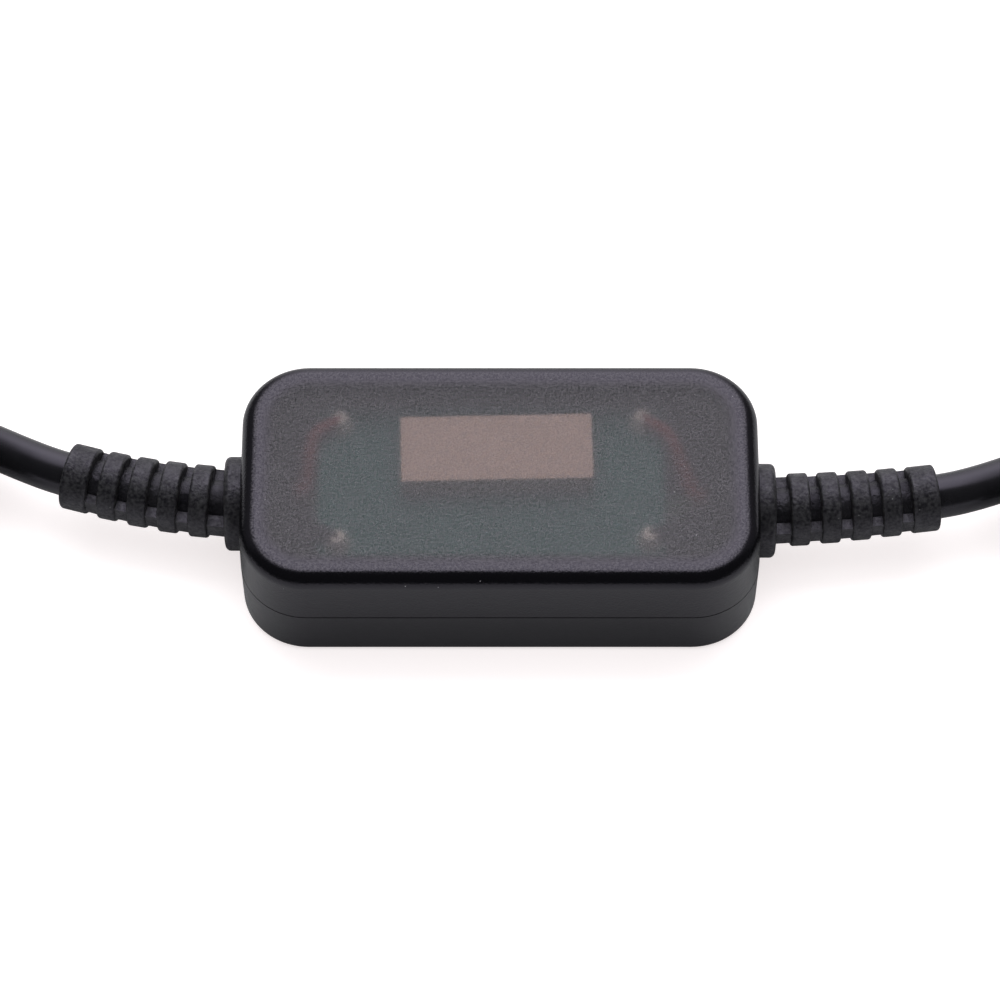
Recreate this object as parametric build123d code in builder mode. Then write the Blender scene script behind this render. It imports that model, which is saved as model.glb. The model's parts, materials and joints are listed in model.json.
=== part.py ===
from build123d import *
import math
import os

# Inline USB power meter: a small sealed box on a cable, with a USB-A plug and a USB-A socket.
# Origin at the middle of the box's underside. X runs along the box and the cable (input side at
# -X), Y points to the back, Z up. Millimetres.

# ---- Driving dimensions -------------------------------------------------------------------
# Box
LENGTH = 46.0
WIDTH = 23.0
HEIGHT = 12.0
CORNER_RADIUS = 6.0
TOP_ROUND = 1.4
BOTTOM_ROUND = 0.8
DRAFT = 0.8  # degrees, both halves away from the seam
WALL = 2.2
ROOF = 1.5
FLOOR = 1.5
SEAM_Z = 5.8
SEAM_GROOVE = 0.12
LIP_WIDTH = 0.9
LIP_HEIGHT = 0.9
LIP_PLAY = 0.05

# Cable and strain reliefs
CABLE_DIAMETER = 4.0
CABLE_RADIUS = CABLE_DIAMETER / 2
NECK_RADIUS = 3.0
FLANGE_RADIUS = 4.2
FLANGE_WIDTH = 1.5
INNER_FLANGE_RADIUS = 4.0
INNER_FLANGE_WIDTH = 1.5
RIB_COUNT = 5
FLANGE_ROUND = 0.5
RIB_FIRST = 2.75
RIB_PITCH = 2.7
RIB_WIDTH = 1.75
RIB_END_WIDTH = 2.45
RIB_FIRST_RADIUS = 3.25
RIB_END_RADIUS = 2.98
RIB_ROUND = 0.25
WEB_BELOW_RIB = 0.27
WEB_HEIGHT = 1.6
WIRE_START = 1.0  # the jacket ends this far inside the inner flange
JACKET_END = LENGTH / 2 - WALL - INNER_FLANGE_WIDTH - WIRE_START
RELIEF_LENGTH = RIB_FIRST + RIB_PITCH * (RIB_COUNT - 1) + RIB_END_WIDTH
EXIT_INSET = 2.3  # the free cable starts this far inside the last ring

# Each strain relief bends to the back: its side, where its axis crosses the wall, and its radius
INPUT_SIDE = (-1, 0.1, 65.0)
OUTPUT_SIDE = (1, -0.5, 140.0)

# Circuit board and what is on it
BOARD_X = 30.8
BOARD_Y = 15.5
BOARD_THICKNESS = 1.2
BOARD_TOP = 8.0
BOARD_CENTRE = (-0.8, 1.0)
BOARD_CORNER = 0.6
BOARD_BOTTOM = BOARD_TOP - BOARD_THICKNESS
POST_RADIUS = 1.2
POST_INSET = (4.4, 1.95)
DISPLAY_SIZE = (17.0, 6.7)
DISPLAY_HEIGHT = 2.2
DISPLAY_CENTRE = (-0.3, 3.15)
DISPLAY_TURN = 1.3
DIGIT_COUNT = 4
DIGIT_PITCH = 4.0
DIGIT_HEIGHT = 4.6
DIGIT_WIDTH = 2.4
SEGMENT_WIDTH = 0.5
SEGMENT_DEPTH = 0.8
PIN_RADIUS = 0.25
PIN_PITCH = 2.54
PIN_ROW = 5.2
PINS_PER_ROW = 6
PIN_LENGTH = 2.2
WIRE_RADIUS = 0.6
DATA_WIRE_RADIUS = 0.45
SOLDER_RADIUS = 1.15
SOLDER_HEIGHT = 1.3
PADS = {
    "input_red": (-14.3, 6.9),
    "input_black": (-14.3, -5.5),
    "output_red": (12.7, 7.1),
    "output_black": (13.2, -5.2),
}

# Put-away cable: a hank of two turns on each side, laid in line with the box. Its points are
# measured from the hank's middle, X away from the box.
HANK_CENTRE = 84.0
INPUT_HANK_Y = 2.2
OUTPUT_HANK_Y = -2.2
HANK_TURNS = 2
FOLD_RADIUS = 3 * CABLE_DIAMETER
FOLD_CENTRE = 22.5
WAIST_RADIUS = 14.0
WAIST_ANGLE = 35.0
HANK_HEIGHT = HANK_TURNS * CABLE_DIAMETER
CLIMB_START = 100.0
CLIMB_SPAN = 140.0
TIE_WIDTH = 8.0
TIE_THICKNESS = 0.5

# Routes of the free cable, from inside the strain relief's last ring to the hank; X is outwards
INPUT_LEAD = [
    (39.25, 3.5, 5.8), (42.45, 4.9, 5.7), (46.4, 7.2, 5.1), (51.6, 10.4, 3.6), (55.5, 12.6, 2.6),
]
OUTPUT_LEAD = [
    (39.5, 1.1, 5.8), (42.8, 2.05, 5.7), (47.0, 3.95, 5.2), (52.0, 6.45, 3.7), (55.8, 8.5, 2.6),
]
# From the top of the hank's near fold to the connector that lies across the hank
TAIL = [(-24.6, 11.8), (-21.0, 12.1), (-17.4, 11.9), (-13.9, 11.0), (-10.6, 9.55)]
PLUG_TAIL_Z = (10.2, 10.9, 11.7, 12.4, 12.95)
SOCKET_TAIL_Z = (10.3, 11.2, 12.2, 13.1, 13.75)
CONNECTOR_HEADING = -24.0

# USB-A plug, along its own X from where the cable enters it
CONNECTOR_RELIEF = 8.0
CONNECTOR_RELIEF_RADIUS = 3.4
CONNECTOR_RELIEF_TAPER = 5.0
PLUG_BODY = (19.0, 15.6, 7.8)
PLUG_ROUND = 1.6
PLUG_SHELL = (12.0, 4.5)
PLUG_SHELL_OUT = 12.0
PLUG_SHELL_IN = 6.0
SHEET = 0.3
LATCH_HOLE = (1.9, 2.4)
LATCH_FROM_TIP = 5.2
PLUG_TONGUE = 1.9
PLUG_BLOCK = 4.5
CONTACT_PLACES = (-3.5, -1.0, 1.0, 3.5)
CONTACT_WIDTH = 1.0
CONTACT_LENGTH = 7.4
CONTACT_THICKNESS = 0.12

# USB-A socket, along its own X from where the cable enters it
SOCKET_BODY = (26.0, 17.6, 9.4)
SOCKET_ROUND = 2.0
SOCKET_MOUTH = (12.5, 5.12)
SOCKET_DEPTH = 12.5
SOCKET_LIP = 0.5
SOCKET_TONGUE = (11.1, 1.84)
SOCKET_TONGUE_LENGTH = 9.0
SOCKET_BLOCK = 1.5

os.makedirs("parts", exist_ok=True)


def save(part, name):
    """Label a finished piece and write its STEP file."""
    part.label = name
    export_step(part, f"parts/{name}.step")


# ---- Geometry shared by several pieces -----------------------------------------------------
def relief_point(end, along):
    """Point and heading on a strain relief's axis, measured along it from the wall's face."""
    side, offset, bend = end
    heading = (along + LENGTH / 2 - JACKET_END) / bend
    x = JACKET_END + bend * math.sin(heading)
    y = offset + bend * (1 - math.cos(heading))
    return Vector(side * x, y, SEAM_Z), Vector(side * math.cos(heading), math.sin(heading), 0)


def relief_plane(end, along):
    """Plane square to a strain relief's axis, with its own Y axis pointing up."""
    point, direction = relief_point(end, along)
    sideways = Vector(0, 0, 1).cross(direction)
    return Plane(origin=point, x_dir=-sideways, z_dir=direction)


def corner_radii(points):
    """The largest arc that each corner's two runs allow."""
    radii = []
    for before, corner, after in zip(points, points[1:], points[2:]):
        first = Vector(*corner) - Vector(*before)
        second = Vector(*after) - Vector(*corner)
        half_turn = math.radians(first.get_angle(second)) / 2
        radii.append(0.45 * min(first.length, second.length) / math.tan(half_turn))
    return radii


def cable_tube(name, points, radius=CABLE_RADIUS):
    """A plain tube along straight runs joined by tangent arcs."""
    radii = corner_radii(points)
    with BuildPart() as tube:
        with BuildLine() as route:
            FilletPolyline(*points, radius=radii)
        with BuildSketch(Plane(origin=route.wire() @ 0, z_dir=route.wire() % 0)):
            Circle(radius)
        sweep(path=route.wire())
    length = route.wire().length
    print(
        f"{name}: length {length:.1f} mm, radii", [round(value, 1) for value in radii],
        f"volume / (section x length) {tube.part.volume / (math.pi * radius**2 * length):.4f}",
    )
    return tube


# ---- Box shells ----------------------------------------------------------------------------
with BuildPart() as upper_shell:
    with BuildSketch(Plane.XY.offset(SEAM_Z)):
        RectangleRounded(LENGTH, WIDTH, CORNER_RADIUS)
    extrude(amount=HEIGHT - SEAM_Z, taper=DRAFT)
    fillet(upper_shell.faces().sort_by(Axis.Z)[-1].edges(), TOP_ROUND)
    with BuildSketch(Plane.XY.offset(SEAM_Z)):
        RectangleRounded(LENGTH - 2 * WALL, WIDTH - 2 * WALL, CORNER_RADIUS - WALL)
    extrude(amount=HEIGHT - ROOF - SEAM_Z, mode=Mode.SUBTRACT)
    # Groove for the lower shell's lip
    with BuildSketch(Plane.XY.offset(SEAM_Z)):
        RectangleRounded(
            LENGTH - 2 * (WALL - LIP_WIDTH - LIP_PLAY),
            WIDTH - 2 * (WALL - LIP_WIDTH - LIP_PLAY),
            CORNER_RADIUS - WALL + LIP_WIDTH + LIP_PLAY,
        )
    extrude(amount=LIP_HEIGHT + LIP_PLAY, mode=Mode.SUBTRACT)
    # Hairline step along the seam
    with BuildSketch(Plane.XY.offset(SEAM_Z)):
        RectangleRounded(LENGTH + 2, WIDTH + 2, CORNER_RADIUS + 1)
        RectangleRounded(
            LENGTH - 2 * SEAM_GROOVE, WIDTH - 2 * SEAM_GROOVE, CORNER_RADIUS - SEAM_GROOVE,
            mode=Mode.SUBTRACT,
        )
    extrude(amount=SEAM_GROOVE, mode=Mode.SUBTRACT)
    # Half-round notches for the strain relief necks
    for side, offset, _ in (INPUT_SIDE, OUTPUT_SIDE):
        with BuildSketch(Plane.YZ):
            with Locations((offset, SEAM_Z)):
                Circle(NECK_RADIUS)
        extrude(amount=side * LENGTH, mode=Mode.SUBTRACT)
save(upper_shell.part, "upper_shell")

post_reach = (BOARD_X / 2 - POST_INSET[0], BOARD_Y / 2 - POST_INSET[1])
post_places = [
    (BOARD_CENTRE[0] + across_x * post_reach[0], BOARD_CENTRE[1] + across_y * post_reach[1])
    for across_x in (-1, 1)
    for across_y in (-1, 1)
]

with BuildPart() as lower_shell:
    with BuildSketch(Plane.XY.offset(SEAM_Z)):
        RectangleRounded(LENGTH, WIDTH, CORNER_RADIUS)
    extrude(amount=-SEAM_Z, taper=DRAFT)
    fillet(lower_shell.faces().sort_by(Axis.Z)[0].edges(), BOTTOM_ROUND)
    with BuildSketch(Plane.XY.offset(SEAM_Z)):
        RectangleRounded(
            LENGTH - 2 * (WALL - LIP_WIDTH),
            WIDTH - 2 * (WALL - LIP_WIDTH),
            CORNER_RADIUS - WALL + LIP_WIDTH,
        )
    extrude(amount=LIP_HEIGHT)
    with BuildSketch(Plane.XY.offset(FLOOR)):
        RectangleRounded(LENGTH - 2 * WALL, WIDTH - 2 * WALL, CORNER_RADIUS - WALL)
    extrude(amount=SEAM_Z + LIP_HEIGHT - FLOOR, mode=Mode.SUBTRACT)
    with BuildSketch(Plane.XY.offset(FLOOR)):
        with Locations(*post_places):
            Circle(POST_RADIUS)
    extrude(amount=BOARD_BOTTOM - FLOOR)
    for side, offset, _ in (INPUT_SIDE, OUTPUT_SIDE):
        with BuildSketch(Plane.YZ):
            with Locations((offset, SEAM_Z)):
                Circle(NECK_RADIUS)
        extrude(amount=side * LENGTH, mode=Mode.SUBTRACT)
save(lower_shell.part, "lower_shell")


# ---- Circuit board -------------------------------------------------------------------------
board_plane = Plane.XY.offset(BOARD_BOTTOM)
display_plane = Plane(
    origin=(DISPLAY_CENTRE[0], DISPLAY_CENTRE[1], BOARD_TOP),
    x_dir=(math.cos(math.radians(DISPLAY_TURN)), math.sin(math.radians(DISPLAY_TURN)), 0),
    z_dir=(0, 0, 1),
)
pin_spots = [
    ((index - (PINS_PER_ROW - 1) / 2) * PIN_PITCH, row * PIN_ROW / 2)
    for row in (-1, 1)
    for index in range(PINS_PER_ROW)
]

with BuildPart() as circuit_board:
    with BuildSketch(board_plane):
        with Locations(BOARD_CENTRE):
            RectangleRounded(BOARD_X, BOARD_Y, BOARD_CORNER)
    extrude(amount=BOARD_THICKNESS)
    with BuildSketch(display_plane):
        with Locations(*pin_spots):
            Circle(PIN_RADIUS)
    extrude(amount=-BOARD_THICKNESS, mode=Mode.SUBTRACT)
save(circuit_board.part, "circuit_board")

with BuildPart() as display_pins:
    with BuildSketch(display_plane):
        with Locations(*pin_spots):
            Circle(PIN_RADIUS)
    extrude(amount=-PIN_LENGTH)
save(display_pins.part, "display_pins")


def digit_segments():
    """The seven bars and the point of each digit, drawn in the open sketch."""
    half_height = DIGIT_HEIGHT / 2
    half_width = DIGIT_WIDTH / 2
    bar = DIGIT_WIDTH - 1.5 * SEGMENT_WIDTH
    upright = half_height - 1.25 * SEGMENT_WIDTH
    for index in range(DIGIT_COUNT):
        x = (index - (DIGIT_COUNT - 1) / 2) * DIGIT_PITCH - 0.2
        with Locations((x, half_height), (x, 0), (x, -half_height)):
            SlotOverall(bar, SEGMENT_WIDTH)
        with Locations(
            (x - half_width, half_height / 2), (x + half_width, half_height / 2),
            (x - half_width, -half_height / 2), (x + half_width, -half_height / 2),
        ):
            SlotOverall(upright, SEGMENT_WIDTH, rotation=90)
        with Locations((x + half_width + 0.75, -half_height)):
            Circle(SEGMENT_WIDTH / 2)


segment_plane = display_plane.offset(DISPLAY_HEIGHT)
with BuildPart() as display_segments:
    with BuildSketch(segment_plane):
        digit_segments()
    extrude(amount=-SEGMENT_DEPTH)
save(display_segments.part, "display_segments")

with BuildPart() as display_body:
    with BuildSketch(display_plane):
        Rectangle(*DISPLAY_SIZE)
    extrude(amount=DISPLAY_HEIGHT)
    with BuildSketch(segment_plane):
        digit_segments()
    extrude(amount=-SEGMENT_DEPTH, mode=Mode.SUBTRACT)
save(display_body.part, "display_body")

# Parts on the underside of the board
with BuildPart() as microcontroller:
    with BuildSketch(board_plane):
        with Locations((-4.0, -2.2)):
            Rectangle(5.0, 4.0)
    extrude(amount=-1.5)
    chamfer(microcontroller.faces().sort_by(Axis.Z)[0].edges(), 0.2)
    with BuildSketch(board_plane):
        with Locations((-4.0, -2.2)):
            with GridLocations(1.27, 5.0, 4, 2):
                Rectangle(0.4, 1.0)
    extrude(amount=-0.6)
save(microcontroller.part, "microcontroller")

with BuildPart() as voltage_regulator:
    with BuildSketch(board_plane):
        with Locations((4.0, -2.4)):
            Rectangle(4.5, 2.5)
    extrude(amount=-1.5)
    with BuildSketch(board_plane):
        with Locations((2.5, -4.1), (4.0, -4.1), (5.5, -4.1)):
            Rectangle(0.45, 0.9)
        with Locations((4.0, -0.9)):
            Rectangle(1.8, 0.5)
    extrude(amount=-0.4)
save(voltage_regulator.part, "voltage_regulator")

with BuildPart() as current_shunt:
    with BuildSketch(board_plane):
        with Locations((-8.6, 3.6)):
            Rectangle(3.2, 6.3)
    extrude(amount=-0.7)
save(current_shunt.part, "current_shunt")

with BuildPart() as capacitors:
    with BuildSketch(board_plane):
        with Locations((8.8, -2.6), (8.8, 0.2), (-8.6, -2.6)):
            Rectangle(2.0, 1.25)
    extrude(amount=-1.2)
save(capacitors.part, "capacitors")

with BuildPart() as resistors:
    with BuildSketch(board_plane):
        with Locations((-4.6, 3.0), (-2.2, 3.0), (0.2, 3.0), (2.6, 3.0), (5.0, 3.0), (0.4, -2.2)):
            Rectangle(1.1, 1.8)
    extrude(amount=-0.5)
save(resistors.part, "resistors")


# ---- Wires ---------------------------------------------------------------------------------
def power_wire(name, end, pad, from_axis):
    """One supply or return wire, from the cable's end up to its pad on the board."""
    side, offset, _ = end
    pad_x, pad_y = pad
    start_y = offset + from_axis
    start_z = SEAM_Z + 0.6
    start = (side * JACKET_END, start_y, start_z)
    bend = (side * (JACKET_END - 1.0), start_y, start_z)
    rise = (pad_x + side * 2.4, 0.75 * pad_y + 0.25 * start_y, BOARD_TOP + 1.0)
    end = (pad_x, pad_y, BOARD_TOP + 0.75)
    return cable_tube(name, [start, bend, rise, end], WIRE_RADIUS)


wires = {
    "input_red": power_wire("input_red_wire", INPUT_SIDE, PADS["input_red"], 0.75),
    "input_black": power_wire("input_black_wire", INPUT_SIDE, PADS["input_black"], -0.75),
    "output_red": power_wire("output_red_wire", OUTPUT_SIDE, PADS["output_red"], 0.75),
    "output_black": power_wire("output_black_wire", OUTPUT_SIDE, PADS["output_black"], -0.75),
}
for wire_name, wire in wires.items():
    save(wire.part, f"{wire_name}_wire")

with BuildPart() as solder_joints:
    for pad in PADS.values():
        with BuildSketch(Plane.XY.offset(BOARD_TOP)):
            with Locations(pad):
                Circle(SOLDER_RADIUS)
        extrude(amount=SOLDER_HEIGHT, taper=22)
    for wire in wires.values():
        add(wire.part, mode=Mode.SUBTRACT)
save(solder_joints.part, "solder_joints")


def data_wire(name, y):
    """A data wire that passes under the board from the input cable to the output cable."""
    low = FLOOR + 1.0
    points = [
        (-JACKET_END, y, SEAM_Z - 0.9),
        (-JACKET_END + 1.5, y, SEAM_Z - 0.9),
        (-JACKET_END + 4.0, y * 1.5, low + 0.9),
        (-JACKET_END + 8.0, y * 2.2, low),
        (0.0, y * 1.5 - 0.6, low + 0.1),
        (JACKET_END - 8.0, y * 2.0, low),
        (JACKET_END - 4.0, y * 1.5, low + 0.9),
        (JACKET_END - 1.5, y, SEAM_Z - 0.9),
        (JACKET_END, y, SEAM_Z - 0.9),
    ]
    return cable_tube(name, points, DATA_WIRE_RADIUS)


data_wire_green = data_wire("data_wire_green", 0.6)
save(data_wire_green.part, "data_wire_green")
data_wire_white = data_wire("data_wire_white", -0.6)
save(data_wire_white.part, "data_wire_white")


# ---- Strain reliefs and the cable they hold --------------------------------------------------
def relief_core(end, reach):
    """The cable inside a strain relief, from inside the box to a distance along the relief."""
    jacket_start = JACKET_END - LENGTH / 2
    near_point, direction = relief_point(end, jacket_start)
    far_point, _ = relief_point(end, reach)
    with BuildPart() as core:
        with BuildLine() as axis:
            TangentArc(near_point, far_point, tangent=direction)
        with BuildSketch(relief_plane(end, jacket_start)):
            Circle(CABLE_RADIUS)
        sweep(path=axis.wire())
    return core


def relief_ring(end, index):
    """One ring of the cage, and the two webs that join it to the piece before it."""
    start = RIB_FIRST + index * RIB_PITCH
    width = RIB_WIDTH if index < RIB_COUNT - 1 else RIB_END_WIDTH
    radius = RIB_FIRST_RADIUS + index / (RIB_COUNT - 1) * (RIB_END_RADIUS - RIB_FIRST_RADIUS)
    with BuildPart() as ring:
        with BuildSketch(relief_plane(end, start)):
            Circle(radius)
        extrude(amount=width)
        fillet(ring.edges().filter_by(GeomType.CIRCLE), RIB_ROUND)
        with BuildSketch(relief_plane(end, start + width / 2)):
            Rectangle(2 * (radius - WEB_BELOW_RIB), WEB_HEIGHT)
        extrude(amount=-RIB_PITCH)
    return ring


def strain_relief(end):
    """Ribbed cage round the cable: rings joined by a web at the front and at the back."""
    rings = [relief_ring(end, index) for index in range(RIB_COUNT)]
    bore = relief_core(end, RELIEF_LENGTH + 1.0)
    side, offset, _ = end
    inner_face = side * (LENGTH / 2 - WALL)
    flange_y = relief_point(end, FLANGE_WIDTH / 2)[0].Y
    with BuildPart() as relief:
        # Outer flange, flat against the box
        with BuildSketch(Plane.YZ.offset(side * LENGTH / 2)):
            with Locations((flange_y, SEAM_Z)):
                Circle(FLANGE_RADIUS)
        extrude(amount=side * FLANGE_WIDTH)
        rims = relief.edges().filter_by(GeomType.CIRCLE).sort_by(Axis.X)
        fillet(rims[-1 if side > 0 else 0], FLANGE_ROUND)
        # Neck through the wall and the flange that holds it inside
        with BuildSketch(Plane.YZ.offset(inner_face)):
            with Locations((offset, SEAM_Z)):
                Circle(NECK_RADIUS)
        extrude(amount=side * WALL)
        with BuildSketch(Plane.YZ.offset(inner_face)):
            with Locations((offset, SEAM_Z)):
                Circle(INNER_FLANGE_RADIUS)
        extrude(amount=-side * INNER_FLANGE_WIDTH)
        for ring in rings:
            add(ring.part)
        add(bore.part, mode=Mode.SUBTRACT)
    return relief


for end, label in ((INPUT_SIDE, "input"), (OUTPUT_SIDE, "output")):
    save(strain_relief(end).part, f"{label}_strain_relief")
    save(relief_core(end, RELIEF_LENGTH - EXIT_INSET).part, f"{label}_cable_core")


# ---- Free cable, put away in a tied hank on each side ----------------------------------------
def hank_point(side, hank_y, x, y, z):
    """A point measured from the hank's middle, as a point of the whole object."""
    return (side * (HANK_CENTRE + x), hank_y + y, z)


def cable_tie(side, hank_y):
    """Strap round the hank's waist."""
    inside = 2 * CABLE_DIAMETER
    middle_z = TIE_THICKNESS + HANK_HEIGHT / 2
    with BuildPart() as tie:
        with BuildSketch(Plane.YZ.offset(side * HANK_CENTRE - TIE_WIDTH / 2)):
            with Locations((hank_y, middle_z)):
                RectangleRounded(
                    inside + 2 * TIE_THICKNESS, HANK_HEIGHT + 2 * TIE_THICKNESS, CABLE_RADIUS
                )
                RectangleRounded(inside, HANK_HEIGHT, CABLE_RADIUS - TIE_THICKNESS, mode=Mode.SUBTRACT)
        extrude(amount=TIE_WIDTH)
    return tie


def cable_hank(side, hank_y, tie):
    """Outer shape of the hank: two round folds drawn in to a waist, and the climb of the last turn."""
    shoulder = math.radians(90 - WAIST_ANGLE)
    fold_outside = FOLD_RADIUS + CABLE_RADIUS
    shoulder_x = FOLD_CENTRE - fold_outside * math.cos(shoulder)
    shoulder_y = fold_outside * math.sin(shoulder)
    waist_x = (WAIST_RADIUS - CABLE_RADIUS) * math.sin(math.radians(WAIST_ANGLE)) / 2
    waist_y = CABLE_DIAMETER
    climb_start = CLIMB_START if side > 0 else 180 - CLIMB_START - CLIMB_SPAN
    with BuildPart() as hank:
        with BuildSketch():
            with Locations((side * HANK_CENTRE, hank_y)):
                with Locations((-FOLD_CENTRE, 0), (FOLD_CENTRE, 0)):
                    Circle(fold_outside)
                for up in (-1, 1):
                    Polygon(
                        (-shoulder_x, up * shoulder_y), (-waist_x, up * waist_y), (waist_x, up * waist_y),
                        (shoulder_x, up * shoulder_y), (shoulder_x, 0), (-shoulder_x, 0),
                        align=None,
                    )
        extrude(amount=HANK_HEIGHT)
        with BuildSketch(Plane.XY.offset(HANK_HEIGHT)):
            with BuildLine():
                CenterArc(
                    hank_point(side, hank_y, -FOLD_CENTRE, 0, 0)[:2], FOLD_RADIUS, climb_start, CLIMB_SPAN
                )
            trace(line_width=CABLE_DIAMETER)
        extrude(amount=CABLE_DIAMETER)
        add(tie.part, mode=Mode.SUBTRACT)
    return hank


free_cables = (
    ("input", INPUT_SIDE, INPUT_LEAD, INPUT_HANK_Y, PLUG_TAIL_Z),
    ("output", OUTPUT_SIDE, OUTPUT_LEAD, OUTPUT_HANK_Y, SOCKET_TAIL_Z),
)
for label, end, lead_route, hank_y, tail_z in free_cables:
    side = end[0]
    exit_point, exit_direction = relief_point(end, RELIEF_LENGTH - EXIT_INSET)
    print(label, "cable leaves at", exit_point, "along", exit_direction)
    lead_points = [tuple(exit_point)] + [(side * x, y, z) for x, y, z in lead_route]
    save(cable_tube(f"{label}_cable_lead", lead_points).part, f"{label}_cable_lead")
    tie = cable_tie(side, hank_y)
    save(tie.part, f"{label}_tie")
    save(cable_hank(side, hank_y, tie).part, f"{label}_cable_hank")
    tail_points = [hank_point(side, hank_y, x, y, z) for (x, y), z in zip(TAIL, tail_z)]
    save(cable_tube(f"{label}_cable_tail", tail_points).part, f"{label}_cable_tail")


# ---- Connectors ------------------------------------------------------------------------------
def connector_plane(side, hank_y, z):
    """Frame of a connector: origin where the cable enters it, X towards its mouth, Z up."""
    heading = math.radians(CONNECTOR_HEADING)
    return Plane(
        origin=hank_point(side, hank_y, *TAIL[-1], z),
        x_dir=(side * math.cos(heading), math.sin(heading), 0),
        z_dir=(0, 0, 1),
    )


def across(frame, along):
    """Plane square to a connector's X, with its X to the connector's left and its Y up."""
    return Plane(origin=frame.from_local_coords((along, 0, 0)), x_dir=frame.y_dir, z_dir=frame.x_dir)


def connector_body(frame, size, rounding, cavity, cavity_depth):
    """Moulded grip with its tapered, grooved cable relief, and the pocket for the metal shell."""
    length, width, height = size
    with BuildPart() as body:
        with BuildSketch(across(frame, CONNECTOR_RELIEF)):
            RectangleRounded(width, height, rounding)
        extrude(amount=length)
        ends = body.faces().sort_by(Axis(frame.origin, frame.x_dir))
        fillet(ends[0].edges() + ends[-1].edges(), 0.6)
        with BuildSketch(across(frame, CONNECTOR_RELIEF)):
            Circle(CONNECTOR_RELIEF_RADIUS)
        extrude(amount=-CONNECTOR_RELIEF, taper=CONNECTOR_RELIEF_TAPER)
        for along in (1.3, 3.3, 5.3):
            with BuildSketch(across(frame, along)):
                Circle(CONNECTOR_RELIEF_RADIUS + 1)
                Circle(CABLE_RADIUS + 0.45, mode=Mode.SUBTRACT)
            extrude(amount=0.9, mode=Mode.SUBTRACT)
        with BuildSketch(across(frame, CONNECTOR_RELIEF + length)):
            Rectangle(*cavity)
        extrude(amount=-cavity_depth, mode=Mode.SUBTRACT)
    return body


plug = connector_plane(-1, INPUT_HANK_Y, PLUG_TAIL_Z[-1])
plug_face = CONNECTOR_RELIEF + PLUG_BODY[0]
plug_tip = plug_face + PLUG_SHELL_OUT
plug_back = plug_face - PLUG_SHELL_IN
plug_inside = (PLUG_SHELL[0] - 2 * SHEET, PLUG_SHELL[1] - 2 * SHEET)

plug_overmold = connector_body(plug, PLUG_BODY, PLUG_ROUND, PLUG_SHELL, PLUG_SHELL_IN)
save(plug_overmold.part, "plug_overmold")

with BuildPart() as plug_shell:
    with BuildSketch(across(plug, plug_back)):
        Rectangle(*PLUG_SHELL)
        Rectangle(*plug_inside, mode=Mode.SUBTRACT)
    extrude(amount=plug_tip - plug_back)
    with BuildSketch(plug.offset(-PLUG_SHELL[1])):
        with Locations((plug_tip - LATCH_FROM_TIP, -2.6), (plug_tip - LATCH_FROM_TIP, 2.6)):
            Rectangle(*LATCH_HOLE)
    extrude(amount=2 * PLUG_SHELL[1], mode=Mode.SUBTRACT)
save(plug_shell.part, "plug_shell")

tongue_z = -plug_inside[1] / 2 + PLUG_TONGUE / 2
with BuildPart() as plug_insulator:
    with BuildSketch(across(plug, plug_back)):
        Rectangle(*plug_inside)
    extrude(amount=PLUG_BLOCK)
    with BuildSketch(across(plug, plug_back)):
        with Locations((0, tongue_z)):
            Rectangle(plug_inside[0], PLUG_TONGUE)
    extrude(amount=plug_tip - plug_back - 0.4)
save(plug_insulator.part, "plug_insulator")

with BuildPart() as plug_contacts:
    with BuildSketch(plug.offset(tongue_z + PLUG_TONGUE / 2)):
        for place in CONTACT_PLACES:
            with Locations((plug_tip - 1.2 - CONTACT_LENGTH / 2, place)):
                Rectangle(CONTACT_LENGTH, CONTACT_WIDTH)
    extrude(amount=CONTACT_THICKNESS)
save(plug_contacts.part, "plug_contacts")

socket = connector_plane(1, OUTPUT_HANK_Y, SOCKET_TAIL_Z[-1])
socket_face = CONNECTOR_RELIEF + SOCKET_BODY[0]
socket_outside = (SOCKET_MOUTH[0] + 2 * SHEET, SOCKET_MOUTH[1] + 2 * SHEET)
socket_back = socket_face - SOCKET_DEPTH - SOCKET_BLOCK

socket_overmold = connector_body(
    socket, SOCKET_BODY, SOCKET_ROUND, socket_outside, SOCKET_DEPTH + SOCKET_BLOCK
)
save(socket_overmold.part, "socket_overmold")

with BuildPart() as socket_shell:
    with BuildSketch(across(socket, socket_back)):
        Rectangle(*socket_outside)
        Rectangle(*SOCKET_MOUTH, mode=Mode.SUBTRACT)
    extrude(amount=socket_face + SOCKET_LIP - socket_back)
save(socket_shell.part, "socket_shell")

with BuildPart() as socket_tongue:
    with BuildSketch(across(socket, socket_back)):
        Rectangle(*SOCKET_MOUTH)
    extrude(amount=SOCKET_BLOCK)
    with BuildSketch(across(socket, socket_back)):
        with Locations((0, SOCKET_TONGUE[1] / 2 + 0.05)):
            Rectangle(*SOCKET_TONGUE)
    extrude(amount=SOCKET_BLOCK + SOCKET_TONGUE_LENGTH)
save(socket_tongue.part, "socket_tongue")

with BuildPart() as socket_contacts:
    with BuildSketch(socket.offset(0.05)):
        for place in CONTACT_PLACES:
            with Locations((socket_back + SOCKET_BLOCK + 1.0 + CONTACT_LENGTH / 2, place)):
                Rectangle(CONTACT_LENGTH, CONTACT_WIDTH)
    extrude(amount=-CONTACT_THICKNESS)
save(socket_contacts.part, "socket_contacts")
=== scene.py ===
import json
import math

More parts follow.
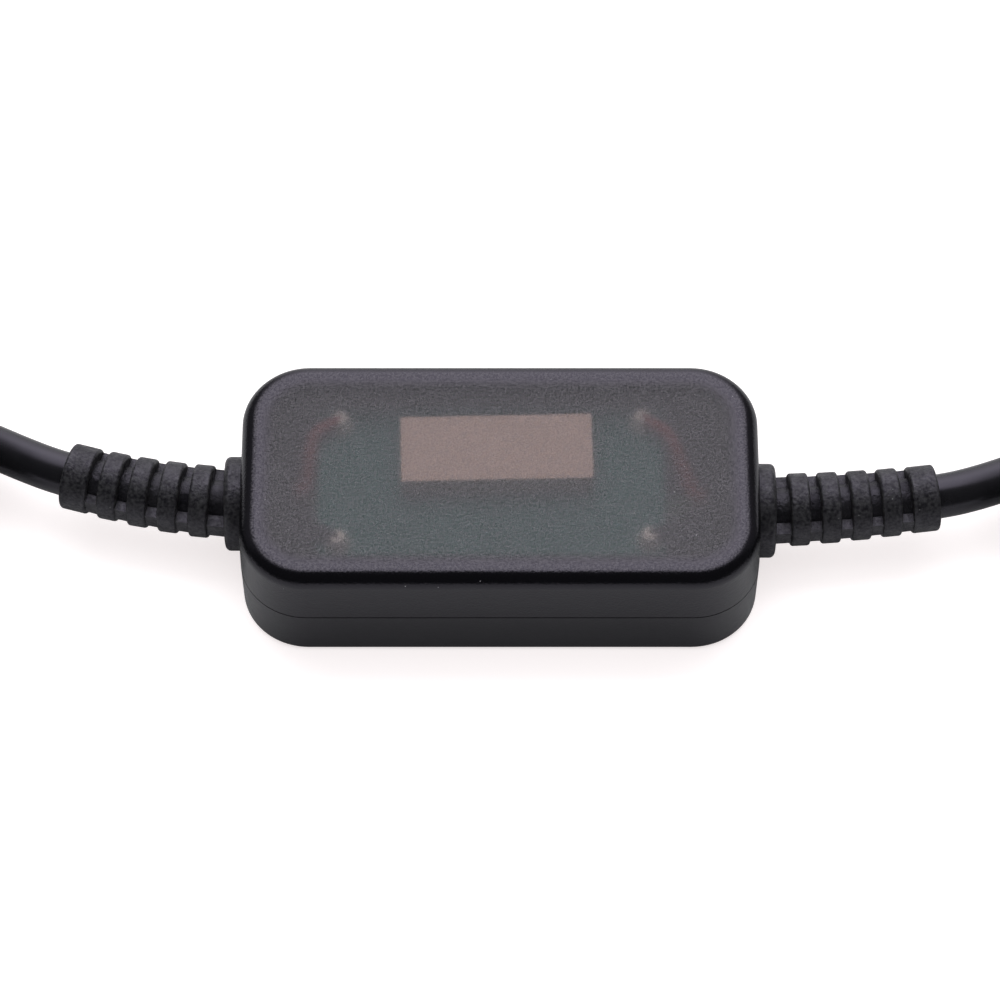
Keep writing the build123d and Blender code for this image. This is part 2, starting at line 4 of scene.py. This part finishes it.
import bpy
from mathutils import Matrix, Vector


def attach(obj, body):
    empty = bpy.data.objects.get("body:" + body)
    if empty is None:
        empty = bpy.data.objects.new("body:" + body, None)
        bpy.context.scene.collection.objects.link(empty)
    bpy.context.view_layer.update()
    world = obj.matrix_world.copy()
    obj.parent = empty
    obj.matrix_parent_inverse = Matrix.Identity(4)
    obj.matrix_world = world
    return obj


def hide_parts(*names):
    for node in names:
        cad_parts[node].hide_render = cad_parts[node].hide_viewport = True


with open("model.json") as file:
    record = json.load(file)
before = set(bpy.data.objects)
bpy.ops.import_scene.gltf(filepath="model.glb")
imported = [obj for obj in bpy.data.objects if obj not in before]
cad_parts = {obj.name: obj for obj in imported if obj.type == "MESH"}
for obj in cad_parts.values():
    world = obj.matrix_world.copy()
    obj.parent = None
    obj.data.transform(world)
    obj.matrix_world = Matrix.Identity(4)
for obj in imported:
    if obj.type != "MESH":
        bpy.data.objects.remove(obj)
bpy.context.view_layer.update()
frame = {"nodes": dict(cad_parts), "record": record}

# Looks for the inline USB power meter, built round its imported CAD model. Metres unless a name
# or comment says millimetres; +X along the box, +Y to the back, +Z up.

MM = 0.001

# ---- Camera --------------------------------------------------------------------------------
BOX_MIDDLE = Vector((0.0, 0.0, 0.006))
CAMERA_DISTANCE = 0.4
CAMERA_ELEVATION = math.radians(58.2)
CAMERA_LENS = 161.27
AIM_UP = 0.000518


def add_camera():
    """A long lens above the front of the box, square to its long side."""
    data = bpy.data.cameras.new("camera")
    data.lens = CAMERA_LENS
    data.sensor_width = 36.0
    data.clip_start = 0.01
    data.clip_end = 20.0
    camera = bpy.data.objects.new("camera", data)
    bpy.context.scene.collection.objects.link(camera)
    back = Vector((0.0, -math.cos(CAMERA_ELEVATION), math.sin(CAMERA_ELEVATION)))
    up = Vector((0.0, math.sin(CAMERA_ELEVATION), math.cos(CAMERA_ELEVATION)))
    camera.location = BOX_MIDDLE + up * AIM_UP + back * CAMERA_DISTANCE
    camera.rotation_mode = "QUATERNION"
    camera.rotation_quaternion = (-back).to_track_quat("-Z", "Y")
    bpy.context.scene.camera = camera


add_camera()

# ---- Free cables ---------------------------------------------------------------------------
# Millimetres. The points repeat the CAD routes, with X measured outwards from the box.
CABLE_RADIUS = 2.0
HANK_CENTRE = 84.0
FOLD_CENTRE = 22.5
FOLD_RADIUS = 12.0
STRAIGHT_FROM = 55.0  # degrees round a fold where the strand leaves it for the waist
WAIST_POINT = (4.41, 2.0)
TIE_LIFT = 0.5
TURN_HEIGHT = 4.0
TAIL = [(-24.6, 11.8), (-21.0, 12.1), (-17.4, 11.9), (-13.9, 11.0), (-10.6, 9.55)]
CONNECTOR_HEADING = math.radians(-24.0)
CONNECTOR_RUN = 2.0

CABLES = {
    "input": {
        "side": -1,
        "hank_y": 2.2,
        "lead": [
            (36.455, 2.687, 5.8), (39.25, 3.5, 5.8), (42.45, 4.9, 5.7), (46.4, 7.2, 5.1),
            (51.6, 10.4, 3.6), (55.5, 12.6, 2.6),
        ],
        "tail_z": (10.2, 10.9, 11.7, 12.4, 12.95),
        "far_end": "plug",
        "connector": ["plug_overmold", "plug_shell", "plug_insulator", "plug_contacts"],
    },
    "output": {
        "side": 1,
        "hank_y": -2.2,
        "lead": [
            (36.647, 0.707, 5.8), (39.5, 1.1, 5.8), (42.8, 2.05, 5.7), (47.0, 3.95, 5.2),
            (52.0, 6.45, 3.7), (55.8, 8.5, 2.6),
        ],
        "tail_z": (10.3, 11.2, 12.2, 13.1, 13.75),
        "far_end": "connector",
        "connector": ["socket_overmold", "socket_shell", "socket_tongue", "socket_contacts"],
    },
}


def fold_points(centre_x, start, stop, count):
    """Control points round one fold, clockwise from the angle start to stop, in degrees."""
    step = (start - stop) / count
    reach = FOLD_RADIUS / math.cos(math.radians(step / 2))
    points = []
    for index in range(count):
        angle = math.radians(start - (index + 0.5) * step)
        points.append((centre_x + reach * math.cos(angle), reach * math.sin(angle)))
    return points


def hank_points():
    """Control points of the two turns of the hank, measured from its middle, with their heights."""
    waist_x, waist_y = WAIST_POINT
    far_stop = STRAIGHT_FROM - 180
    points = []
    for turn, near_start, near_count in ((0, 119.0, 2), (1, 360 - STRAIGHT_FROM, 6)):
        low = CABLE_RADIUS + turn * TURN_HEIGHT
        near = fold_points(-FOLD_CENTRE, near_start, STRAIGHT_FROM, near_count)
        for index, (x, y) in enumerate(near):
            climb = min(1.0, (index + 1) / 4) if turn else 1.0
            points.append((x, y, low - TURN_HEIGHT * (1 - climb)))
        points += [(x, waist_y, low + TIE_LIFT) for x in (-waist_x, waist_x)]
        points += [(x, y, low) for x, y in fold_points(FOLD_CENTRE, 180 - STRAIGHT_FROM, far_stop, 6)]
        points += [(x, -waist_y, low + TIE_LIFT) for x in (waist_x, -waist_x)]
    low = CABLE_RADIUS + TURN_HEIGHT
    for index, (x, y) in enumerate(fold_points(-FOLD_CENTRE, 360 - STRAIGHT_FROM, 100.0, 5)):
        points.append((x, y, low + TURN_HEIGHT * min(1.0, (index + 1) / 4)))
    return points


def add_cable(label, cable):
    """One free cable as a single smooth spline: its lead, the hank and its tail to the connector."""
    side = cable["side"]

    def placed(x, y, z):
        return (side * (HANK_CENTRE + x), cable["hank_y"] + y, z)

    points = [(side * x, y, z) for x, y, z in cable["lead"]]
    points += [placed(*point) for point in hank_points()]
    points += [placed(x, y, z) for (x, y), z in zip(TAIL, cable["tail_z"])]
    end_x, end_y, end_z = points[-1]
    points.append((
        end_x + side * CONNECTOR_RUN * math.cos(CONNECTOR_HEADING),
        end_y + CONNECTOR_RUN * math.sin(CONNECTOR_HEADING),
        end_z,
    ))
    curve = bpy.data.curves.new(f"{label}_cable", "CURVE")
    curve.dimensions = "3D"
    spline = curve.splines.new("NURBS")
    spline.points.add(len(points) - 1)
    for control, point in zip(spline.points, points):
        control.co = (point[0] * MM, point[1] * MM, point[2] * MM, 1.0)
        control.radius = CABLE_RADIUS * MM
    spline.order_u = 3
    spline.use_endpoint_u = True
    spline.resolution_u = 10
    curve.bevel_depth = 1.0  # times each point's radius, which Blender also adds to the curve's box
    curve.bevel_resolution = 8
    cord = bpy.data.objects.new(f"{label}_cable", curve)
    bpy.context.scene.collection.objects.link(cord)
    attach(cord, "root")
    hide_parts(f"{label}_cable_lead", f"{label}_cable_hank", f"{label}_cable_tail")
    return cord


cords = {label: add_cable(label, cable) for label, cable in CABLES.items()}

# ---- Materials -----------------------------------------------------------------------------
PLAIN = (1.0, 1.0, 1.0)
VIOLET = (0.90, 0.86, 1.0)
LID_BLACK = (0.002, 0.002, 0.0025)


def maths(tree, operation, first, second=None):
    """One Math node on sockets or numbers, as its output socket."""
    made = tree.nodes.new("ShaderNodeMath")
    made.operation = operation
    for index, value in enumerate((first, second)):
        if isinstance(value, (int, float)):
            made.inputs[index].default_value = value
        elif value is not None:
            tree.links.new(value, made.inputs[index])
    return made.outputs["Value"]


def smooth(tree, value, low, high, first, last):
    """The socket's range low..high as a smooth step from first to last."""
    made = tree.nodes.new("ShaderNodeMapRange")
    made.interpolation_type = "SMOOTHSTEP"
    for name, number in (("From Min", low), ("From Max", high), ("To Min", first), ("To Max", last)):
        made.inputs[name].default_value = number
    tree.links.new(value, made.inputs["Value"])
    return made.outputs["Result"]


class Shader:
    """A material's node tree, with short calls for the nodes that every material here uses."""

    def __init__(self, name):
        self.material = bpy.data.materials.new(name)
        self.material.use_nodes = True
        self.tree = self.material.node_tree
        self.tree.nodes.clear()
        self.output = self.node("OutputMaterial")
        self.surface = self.node("BsdfPrincipled")
        self.link(self.surface, "BSDF", self.output, "Surface")
        self.place = self.node("TexCoord")

    def node(self, kind, **settings):
        made = self.tree.nodes.new("ShaderNode" + kind)
        for key, value in settings.items():
            setattr(made, key, value)
        return made

    def link(self, source, output, target, socket):
        self.tree.links.new(source.outputs[output], target.inputs[socket])

    def set(self, **values):
        for key, value in values.items():
            socket = self.surface.inputs[key.replace("_", " ")]
            socket.default_value = (*value, 1.0) if isinstance(value, tuple) else value

    def maths(self, operation, first, second=None):
        return maths(self.tree, operation, first, second)

    def noise(self, size, detail):
        """Noise in object space whose blobs are about size metres wide."""
        noise = self.node("TexNoise")
        noise.inputs["Scale"].default_value = 1.0 / size
        noise.inputs["Detail"].default_value = detail
        self.link(self.place, "Object", noise, "Vector")
        return noise

    def ramp(self, source, output, low, high, first, last):
        """The source's range low..high as a blend from first to last."""
        ramp = self.node("ValToRGB")
        stops = ramp.color_ramp.elements
        for stop, at, value in ((stops[0], low, first), (stops[1], high, last)):
            stop.position = at
            stop.color = (*value, 1.0) if isinstance(value, tuple) else (value, value, value, 1.0)
        self.link(source, output, ramp, "Fac")
        return ramp

    def colours(self, size, first, last, low=0.35, high=0.65):
        """Base colour that drifts between two colours."""
        drift = self.ramp(self.noise(size, 3.0), "Fac", low, high, first, last)
        self.link(drift, "Color", self.surface, "Base Color")

    def roughness(self, size, first, last):
        """Roughness that drifts between two values."""
        drift = self.ramp(self.noise(size, 3.0), "Fac", 0.3, 0.7, first, last)
        self.link(drift, "Color", self.surface, "Roughness")

    def bump(self, size, height):
        """Surface relief of a real height in metres; several calls add up."""
        bump = self.node("Bump")
        bump.inputs["Strength"].default_value = 1.0
        bump.inputs["Distance"].default_value = height
        self.link(self.noise(size, 3.0), "Fac", bump, "Height")
        taken = self.surface.inputs["Normal"].links
        if taken:
            self.tree.links.new(taken[0].from_socket, bump.inputs["Normal"])
        self.link(bump, "Normal", self.surface, "Normal")

    def specks(self, spacing, share, radius, colour):
        """Sparse dust: small dots in a share of the cells of a grid about spacing metres wide."""
        cells = self.node("TexVoronoi")
        cells.inputs["Scale"].default_value = 1.0 / spacing
        self.link(self.place, "Object", cells, "Vector")
        near = self.maths("LESS_THAN", cells.outputs["Distance"], radius / spacing)
        split = self.node("SeparateColor")
        self.link(cells, "Color", split, "Color")
        chosen = self.maths("LESS_THAN", split.outputs["Red"], share)
        self.cover(self.maths("MULTIPLY", near, chosen), colour)

    def cover(self, share, colour):
        """A matt colour laid over a share, from 0 to 1, of the surface so far."""
        matt = self.node("BsdfDiffuse")
        matt.inputs["Color"].default_value = (*colour, 1.0)
        mixed = self.node("MixShader")
        current = self.output.inputs["Surface"].links[0].from_socket
        self.tree.links.new(share, mixed.inputs[0])
        self.tree.links.new(current, mixed.inputs[1])
        self.link(matt, "BSDF", mixed, 2)
        self.link(mixed, "Shader", self.output, "Surface")


LID_WINDOW = (20.6 * MM, 9.1 * MM, 3.8 * MM)  # half length, half width and corner radius
LID_WINDOW_EDGE = 0.7 * MM
LID_CEILING = 10.4 * MM  # the lid's roof is above this height
LID_TOP = 11.985 * MM  # the flat top, inside the rounded edge
LID_TOP_EDGE = 0.05 * MM
# Matt grey flecks on the flat top: the lid's fine grain, drawn as a painted sheen in place of the
# reflection it shows
LID_GRAIN_SHEEN = (0.165, 0.155, 0.175)
LID_GRAIN_SHEEN_SIZE = 0.21 * MM
LID_GRAIN_SHEEN_SHARE = 0.38
LID_CLEAR = {
    "Base Color": (0.45, 0.44, 0.44, 1.0), "IOR": 1.5, "Transmission Weight": 1.0,
    "Specular Tint": (0.08, 0.08, 0.08, 1.0), "Roughness": 0.30,
    "Coat Weight": 0.52, "Coat Roughness": 0.2, "Coat IOR": 1.5,
}
LID_LAMP_TINT = (0.92, 0.92, 0.92, 1.0)
LID_SPECKS = (
    (0.0009, 0.10, 0.00005, (0.34, 0.33, 0.35)),
    (0.0042, 0.12, 0.00008, (0.80, 0.80, 0.80)),
)


def lid_window(lid):
    """1 over the hollow of the lid and 0 over its walls: the thick plastic there is black."""
    half_x, half_y, corner = LID_WINDOW
    split = lid.node("SeparateXYZ")
    lid.link(lid.place, "Object", split, "Vector")
    flat = lid.node("CombineXYZ")
    for axis, half in (("X", half_x), ("Y", half_y)):
        size = lid.maths("ABSOLUTE", split.outputs[axis])
        past = lid.maths("SUBTRACT", size, half - corner)
        lid.tree.links.new(lid.maths("MAXIMUM", past, 0.0), flat.inputs[axis])
    reach = lid.node("VectorMath", operation="LENGTH")
    lid.link(flat, "Vector", reach, 0)
    inside = lid.maths("SUBTRACT", corner, reach.outputs["Value"])
    soft = smooth(lid.tree, inside, -LID_WINDOW_EDGE, LID_WINDOW_EDGE, 0.0, 1.0)
    above = lid.maths("GREATER_THAN", split.outputs["Z"], LID_CEILING)
    return lid.maths("MULTIPLY", soft, above)


def lid_grain_sheen(lid):
    """How much fine grey grain covers the flat top, as matt flecks that paint the sheen of its grainy
    reflection: none on its rounded edge.
    """
    split = lid.node("SeparateXYZ")
    lid.link(lid.place, "Object", split, "Vector")
    over = lid.maths("SUBTRACT", split.outputs["Z"], LID_TOP - LID_TOP_EDGE)
    rise = lid.maths("DIVIDE", over, LID_TOP_EDGE)
    flat = lid.maths("MINIMUM", lid.maths("MAXIMUM", rise, 0.0), 1.0)
    sheen_fleck = lid.ramp(lid.noise(LID_GRAIN_SHEEN_SIZE, 1.0), "Fac", 0.40, 0.66, 0.0, LID_GRAIN_SHEEN_SHARE)
    return lid.maths("MULTIPLY", sheen_fleck.outputs["Color"], flat)


def smoked_lid():
    """Smoke-tinted plastic, frosted over the hollow and black where its walls are behind it."""
    lid = Shader("smoked_lid")
    lid.set(IOR=1.5, Specular_Tint=VIOLET)
    lid.set(Base_Color=LID_BLACK)
    lid.roughness(0.004, 0.19, 0.23)
    lid.bump(0.0009, 0.000010)
    lid.bump(0.00020, 0.000022)
    window = lid_window(lid)
    clear = lid.node("BsdfPrincipled")
    for name, value in LID_CLEAR.items():
        clear.inputs[name].default_value = value
    grain = lid.surface.inputs["Normal"].links[0].from_socket
    lid.tree.links.new(grain, clear.inputs["Normal"])
    lid.tree.links.new(grain, clear.inputs["Coat Normal"])
    path = lid.node("LightPath")
    lamp = lid.node("BsdfTransparent")
    lamp.inputs["Color"].default_value = LID_LAMP_TINT
    seen = lid.node("MixShader")
    lid.link(path, "Is Shadow Ray", seen, 0)
    lid.link(clear, "BSDF", seen, 1)
    lid.link(lamp, "BSDF", seen, 2)
    whole = lid.node("MixShader")
    lid.tree.links.new(window, whole.inputs[0])
    lid.link(lid.surface, "BSDF", whole, 1)
    lid.link(seen, "Shader", whole, 2)
    lid.link(whole, "Shader", lid.output, "Surface")
    # Painted sheen: matt grey grain flecks over the flat top only
    lid.cover(lid_grain_sheen(lid), LID_GRAIN_SHEEN)
    for size, share, radius, colour in LID_SPECKS:
        lid.specks(size, share, radius, colour)
    return lid.material


def moulding(name, dark, light, rough, grain, height, specks=None, tint=PLAIN, mottle=None):
    """A moulded or extruded solid colour with its own grain. Mottle is its colour's blob size."""
    made = Shader(name)
    made.set(Specular_Tint=tint)
    made.colours(mottle or grain * 6, dark, light)
    made.roughness(grain * 4, *rough)
    made.bump(grain, height)
    if specks:
        made.specks(*specks)
    return made.material


def metal(name, colour, rough, grain, height, share=1.0):
    """Bare or plated metal. Share is how far it shines as metal: solder's flux dulls it."""
    made = Shader(name)
    made.set(Metallic=share)
    made.colours(grain * 20, tuple(0.85 * value for value in colour), colour)
    made.roughness(grain * 8, *rough)
    made.bump(grain, height)
    return made.material


DUST = (0.0024, 0.10, 0.00005, (0.45, 0.45, 0.46))
MATERIALS = {
    "smoked_lid": smoked_lid(),
    "black_case": moulding(
        "black_case", LID_BLACK, (0.004, 0.004, 0.0045), (0.18, 0.26), 0.00022, 0.000010, DUST, VIOLET),
    "board_green": moulding(
        "board_green", (0.006, 0.085, 0.070), (0.010, 0.100, 0.082), (0.3, 0.4), 0.0005, 0.000004),
    "display_white": moulding(
        "display_white", (0.86, 0.61, 0.51), (0.92, 0.66, 0.56), (0.4, 0.5), 0.0004, 0.000004),
    "segment_epoxy": moulding(
        "segment_epoxy", (0.82, 0.58, 0.48), (0.88, 0.63, 0.53), (0.25, 0.35), 0.0003, 0.000003),
    "tinned_metal": metal("tinned_metal", (0.97, 0.86, 0.79), (0.35, 0.5), 0.0002, 0.000006, share=0.1),
    "chip_black": moulding(
        "chip_black", (0.015, 0.015, 0.016), (0.022, 0.022, 0.023), (0.5, 0.6), 0.0001, 0.000006),
    "shunt_alloy": metal("shunt_alloy", (0.72, 0.63, 0.50), (0.35, 0.5), 0.0002, 0.000004),
    "ceramic_tan": moulding(
        "ceramic_tan", (0.35, 0.24, 0.15), (0.42, 0.30, 0.19), (0.45, 0.55), 0.0002, 0.000004),
    "wire_red": moulding(
        "wire_red", (0.22, 0.040, 0.035), (0.27, 0.05, 0.045), (0.3, 0.4), 0.0004, 0.000004),
    "wire_black": moulding(
        "wire_black", (0.012, 0.012, 0.013), (0.018, 0.018, 0.019), (0.3, 0.4), 0.0004, 0.000004),
    "wire_green": moulding(
        "wire_green", (0.02, 0.22, 0.06), (0.03, 0.27, 0.08), (0.3, 0.4), 0.0004, 0.000004),
    "wire_white": moulding(
        "wire_white", (0.72, 0.72, 0.70), (0.80, 0.80, 0.78), (0.3, 0.4), 0.0004, 0.000004),
    "relief_black": moulding(
        "relief_black", (0.004, 0.004, 0.005), (0.030, 0.030, 0.031), (0.30, 0.60), 0.00022, 0.000055,
        (0.0006, 0.16, 0.00005, (0.16, 0.16, 0.165)), VIOLET, mottle=0.00030),
    "relief_core": moulding(
        "relief_core", (0.003, 0.003, 0.004), (0.012, 0.012, 0.013), (0.35, 0.60), 0.00060, 0.00016,
        None, VIOLET),
    "plated_steel": metal("plated_steel", (0.80, 0.79, 0.77), (0.18, 0.3), 0.0004, 0.000003),
    "insulator_black": moulding(
        "insulator_black", (0.014, 0.014, 0.015), (0.02, 0.02, 0.021), (0.4, 0.5), 0.0002, 0.000006),
    "contact_gold": metal("contact_gold", (0.86, 0.62, 0.27), (0.2, 0.3), 0.0002, 0.000002),
    "tie_strap": moulding(
        "tie_strap", (0.018, 0.018, 0.019), (0.028, 0.028, 0.029), (0.6, 0.75), 0.00018, 0.00004),
    "cable_black": moulding(
        "cable_black", (0.006, 0.006, 0.007), (0.009, 0.009, 0.010), (0.21, 0.28), 0.0007, 0.000006,
        None, VIOLET),
}

# The cable inside a strain relief is scuffed and dull, unlike the free cable of the same slot
for part in frame["record"]["subparts"]:
    look = "relief_core" if part["node"].endswith("_cable_core") else part["material_slot"]
    for slot in frame["nodes"][part["node"]].material_slots:
        slot.material = MATERIALS[look]
for cord in cords.values():
    cord.data.materials.append(MATERIALS["cable_black"])

# ---- Floor, lights and world ---------------------------------------------------------------
FLOOR_HALF = 3.0
FLOOR_LIFT = (0.725, 0.68, 0.675, 1.0)  # a glow for the camera only, so that the paper looks white
AMBIENT = (0.30, 0.30, 0.31, 1.0)
WHITE = (1.0, 1.0, 1.0, 1.0)
BACKDROP = {
    "bright": (2.80, 2.70, 2.95, 1.0), "dark": (0.05, 0.05, 0.055, 1.0),
    "off_centre": 0.03, "spread": 0.55, "side": 0.06,
    "behind": (-0.05, 0.25), "rise": (0.10, 0.70), "foot": 0.40,
}


def add_floor():
    """A large sheet of pale paper."""
    half = FLOOR_HALF
    mesh = bpy.data.meshes.new("floor")
    corners = [(-half, -half, 0.0), (half, -half, 0.0), (half, half, 0.0), (-half, half, 0.0)]
    mesh.from_pydata(corners, [], [(0, 1, 2, 3)])
    floor = bpy.data.objects.new("floor", mesh)
    bpy.context.scene.collection.objects.link(floor)
    paper = Shader("floor")
    paper.colours(0.03, (0.60, 0.60, 0.61), (0.62, 0.62, 0.63))
    paper.set(Roughness=0.8, Specular_IOR_Level=0.1)
    path = paper.node("LightPath")
    glow = paper.node("Emission")
    glow.inputs["Color"].default_value = FLOOR_LIFT
    paper.link(path, "Is Camera Ray", glow, "Strength")
    both = paper.node("AddShader")
    paper.link(paper.surface, "BSDF", both, 0)
    paper.link(glow, "Emission", both, 1)
    paper.link(both, "Shader", paper.output, "Surface")
    mesh.materials.append(paper.material)


def add_softbox(name, azimuth, elevation, distance, size, radiance):
    """A soft panel aimed at the box, unseen in reflections. Azimuth 0 is behind it, 90 to its right."""
    data = bpy.data.lights.new(name, "AREA")
    data.shape = "RECTANGLE"
    data.size, data.size_y = size
    data.energy = radiance * math.pi * size[0] * size[1]
    lamp = bpy.data.objects.new(name, data)
    bpy.context.scene.collection.objects.link(lamp)
    turn, rise = math.radians(azimuth), math.radians(elevation)
    away = Vector((math.sin(turn) * math.cos(rise), math.cos(turn) * math.cos(rise), math.sin(rise)))
    lamp.location = BOX_MIDDLE + away * distance
    lamp.rotation_mode = "QUATERNION"
    lamp.rotation_quaternion = away.to_track_quat("Z", "Y")
    lamp.visible_glossy = False
    lamp.visible_transmission = False


add_floor()
add_softbox("key_back", 0, 58, 1.0, (1.3, 0.75), 2.6)
add_softbox("fill_top", 0, 88, 1.2, (1.6, 1.2), 1.2)


def add_world():
    """White to the camera. In reflections it is a bright wall behind the box and a dim room round it."""
    world = bpy.data.worlds.new("studio")
    world.use_nodes = True
    tree = world.node_tree
    tree.nodes.clear()

    place = tree.nodes.new("ShaderNodeTexCoord")
    split = tree.nodes.new("ShaderNodeSeparateXYZ")
    tree.links.new(place.outputs["Generated"], split.inputs["Vector"])
    beside = maths(tree, "SUBTRACT", split.outputs["X"], BACKDROP["off_centre"])
    across = smooth(tree, maths(tree, "ABSOLUTE", beside), 0.0, BACKDROP["spread"], 1.0, BACKDROP["side"])
    behind = smooth(tree, split.outputs["Y"], *BACKDROP["behind"], 0.0, 1.0)
    upward = smooth(tree, split.outputs["Z"], *BACKDROP["rise"], BACKDROP["foot"], 1.0)
    strength = maths(tree, "MULTIPLY", maths(tree, "MULTIPLY", across, behind), upward)
    blend = tree.nodes.new("ShaderNodeMixRGB")
    blend.inputs[1].default_value = BACKDROP["dark"]
    blend.inputs[2].default_value = BACKDROP["bright"]
    tree.links.new(strength, blend.inputs[0])
    output = tree.nodes.new("ShaderNodeOutputWorld")
    seen = tree.nodes.new("ShaderNodeBackground")
    seen.inputs["Color"].default_value = WHITE
    mirrored = tree.nodes.new("ShaderNodeBackground")
    tree.links.new(blend.outputs[0], mirrored.inputs["Color"])
    ambient = tree.nodes.new("ShaderNodeBackground")
    ambient.inputs["Color"].default_value = AMBIENT
    path = tree.nodes.new("ShaderNodeLightPath")
    round_light = tree.nodes.new("ShaderNodeMixShader")
    tree.links.new(path.outputs["Is Glossy Ray"], round_light.inputs[0])
    tree.links.new(ambient.outputs[0], round_light.inputs[1])
    tree.links.new(mirrored.outputs[0], round_light.inputs[2])
    mixed = tree.nodes.new("ShaderNodeMixShader")
    tree.links.new(path.outputs["Is Camera Ray"], mixed.inputs[0])
    tree.links.new(round_light.outputs[0], mixed.inputs[1])
    tree.links.new(seen.outputs[0], mixed.inputs[2])
    tree.links.new(mixed.outputs[0], output.inputs["Surface"])
    bpy.context.scene.world = world


add_world()
bpy.context.scene.view_settings.view_transform = "Standard"
